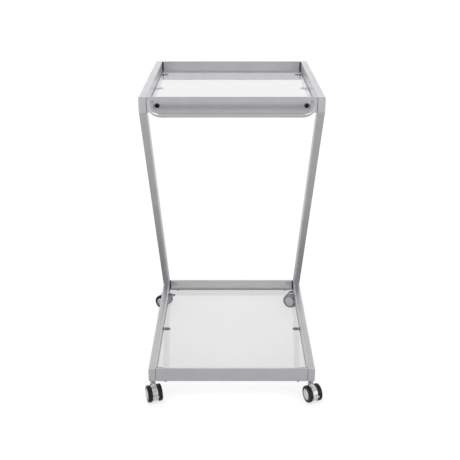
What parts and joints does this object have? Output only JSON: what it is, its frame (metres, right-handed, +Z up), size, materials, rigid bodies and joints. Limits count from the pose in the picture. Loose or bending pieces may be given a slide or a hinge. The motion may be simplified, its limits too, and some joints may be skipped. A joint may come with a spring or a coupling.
{
  "type": "spa trolley cart",
  "caption": "Z-shaped steel trolley with recessed glass shelves, a bent tube handle and swivelling twin-wheel casters.",
  "frame": {"origin": "on the floor under the middle of the trolley's overall box", "axes": "+Z up; the handle is on the -Y side and the feet of the uprights on the +Y side; +X is the right-hand side seen from the handle"},
  "size_m": [0.5365, 0.6353, 0.88],
  "materials": {
    "frame_paint": "satin silver-grey powder coat",
    "handle_paint": "smooth silver-grey coat, glossier than the frame",
    "shelf_glass": "clear polished plate glass",
    "lug_steel": "silver-grey powder coat",
    "black_steel": "black oxide",
    "zinc_steel": "bright zinc plate",
    "silver_shell": "silver metallised, satin gloss",
    "silver_cap": "silver, satin",
    "tyre": "smooth black polyurethane tread"
  },
  "bodies": {
    "frame": {"left_top_side_rail": "frame_paint", "left_upright": "frame_paint", "left_base_side_rail": "frame_paint", "right_top_side_rail": "frame_paint", "right_upright": "frame_paint", "right_base_side_rail": "frame_paint", "top_front_rail": "frame_paint", "top_rear_rail": "frame_paint", "base_front_rail": "frame_paint", "base_rear_rail": "frame_paint", "top_glass_shelf": "shelf_glass", "base_glass_shelf": "shelf_glass", "top_left_front_lug": "lug_steel", "top_right_front_lug": "lug_steel", "top_left_middle_lug": "lug_steel", "top_right_middle_lug": "lug_steel", "top_left_rear_lug": "lug_steel", "top_right_rear_lug": "lug_steel", "base_left_front_lug": "lug_steel", "base_right_front_lug": "lug_steel", "base_left_middle_lug": "lug_steel", "base_right_middle_lug": "lug_steel", "base_left_rear_lug": "lug_steel", "base_right_rear_lug": "lug_steel", "handle": "handle_paint", "handle_left_bolt": "black_steel", "handle_right_bolt": "black_steel", "front_left_stem": "zinc_steel", "front_right_stem": "zinc_steel", "rear_left_stem": "zinc_steel", "rear_right_stem": "zinc_steel"},
    "front_left_caster": {"front_left_hood": "silver_shell", "front_left_axle": "zinc_steel", "front_left_brake_pin": "zinc_steel"},
    "front_left_left_wheel": {"front_left_left_wheel": "tyre", "front_left_left_cap": "silver_cap"},
    "front_left_right_wheel": {"front_left_right_wheel": "tyre", "front_left_right_cap": "silver_cap"},
    "front_left_brake_pedal": {"front_left_brake_pedal": "silver_shell"},
    "front_right_caster": {"front_right_hood": "silver_shell", "front_right_axle": "zinc_steel", "front_right_brake_pin": "zinc_steel"},
    "front_right_left_wheel": {"front_right_left_wheel": "tyre", "front_right_left_cap": "silver_cap"},
    "front_right_right_wheel": {"front_right_right_wheel": "tyre", "front_right_right_cap": "silver_cap"},
    "front_right_brake_pedal": {"front_right_brake_pedal": "silver_shell"},
    "rear_left_caster": {"rear_left_hood": "silver_shell", "rear_left_axle": "zinc_steel"},
    "rear_left_left_wheel": {"rear_left_left_wheel": "tyre", "rear_left_left_cap": "silver_cap"},
    "rear_left_right_wheel": {"rear_left_right_wheel": "tyre", "rear_left_right_cap": "silver_cap"},
    "rear_right_caster": {"rear_right_hood": "silver_shell", "rear_right_axle": "zinc_steel"},
    "rear_right_left_wheel": {"rear_right_left_wheel": "tyre", "rear_right_left_cap": "silver_cap"},
    "rear_right_right_wheel": {"rear_right_right_wheel": "tyre", "rear_right_right_cap": "silver_cap"}
  },
  "joints": [
    {"name": "front_left_swivel", "type": "hinge", "parent": "frame", "child": "front_left_caster", "pos_m": [-0.23, -0.276, 0.0535], "axis": [0, 0, 1], "continuous": true},
    {"name": "front_left_left_wheel_spin", "type": "hinge", "parent": "front_left_caster", "child": "front_left_left_wheel", "pos_m": [-0.22567, -0.28931, 0.025], "axis": [0.9511, 0.309, 0], "continuous": true},
    {"name": "front_left_right_wheel_spin", "type": "hinge", "parent": "front_left_caster", "child": "front_left_right_wheel", "pos_m": [-0.22567, -0.28931, 0.025], "axis": [0.9511, 0.309, 0], "continuous": true},
    {"name": "front_left_brake", "type": "hinge", "parent": "front_left_caster", "child": "front_left_brake_pedal", "pos_m": [-0.22009, -0.30649, 0.02851], "axis": [-0.9511, -0.309, 0], "range_deg": [0, 15]},
    {"name": "front_right_swivel", "type": "hinge", "parent": "frame", "child": "front_right_caster", "pos_m": [0.23, -0.276, 0.0535], "axis": [0, 0, 1], "continuous": true},
    {"name": "front_right_left_wheel_spin", "type": "hinge", "parent": "front_right_caster", "child": "front_right_left_wheel", "pos_m": [0.23502, -0.28907, 0.025], "axis": [0.9336, 0.3584, 0], "continuous": true},
    {"name": "front_right_right_wheel_spin", "type": "hinge", "parent": "front_right_caster", "child": "front_right_right_wheel", "pos_m": [0.23502, -0.28907, 0.025], "axis": [0.9336, 0.3584, 0], "continuous": true},
    {"name": "front_right_brake", "type": "hinge", "parent": "front_right_caster", "child": "front_right_brake_pedal", "pos_m": [0.24149, -0.30593, 0.02851], "axis": [-0.9336, -0.3584, 0], "range_deg": [0, 15]},
    {"name": "rear_left_swivel", "type": "hinge", "parent": "frame", "child": "rear_left_caster", "pos_m": [-0.23, 0.28, 0.0535], "axis": [0, 0, 1], "continuous": true},
    {"name": "rear_left_left_wheel_spin", "type": "hinge", "parent": "rear_left_caster", "child": "rear_left_left_wheel", "pos_m": [-0.24236, 0.28657, 0.025], "axis": [-0.4695, -0.8829, 0], "continuous": true},
    {"name": "rear_left_right_wheel_spin", "type": "hinge", "parent": "rear_left_caster", "child": "rear_left_right_wheel", "pos_m": [-0.24236, 0.28657, 0.025], "axis": [-0.4695, -0.8829, 0], "continuous": true},
    {"name": "rear_right_swivel", "type": "hinge", "parent": "frame", "child": "rear_right_caster", "pos_m": [0.23, 0.28, 0.0535], "axis": [0, 0, 1], "continuous": true},
    {"name": "rear_right_left_wheel_spin", "type": "hinge", "parent": "rear_right_caster", "child": "rear_right_left_wheel", "pos_m": [0.21764, 0.28657, 0.025], "axis": [-0.4695, -0.8829, 0], "continuous": true},
    {"name": "rear_right_right_wheel_spin", "type": "hinge", "parent": "rear_right_caster", "child": "rear_right_right_wheel", "pos_m": [0.21764, 0.28657, 0.025], "axis": [-0.4695, -0.8829, 0], "continuous": true}
  ]
}
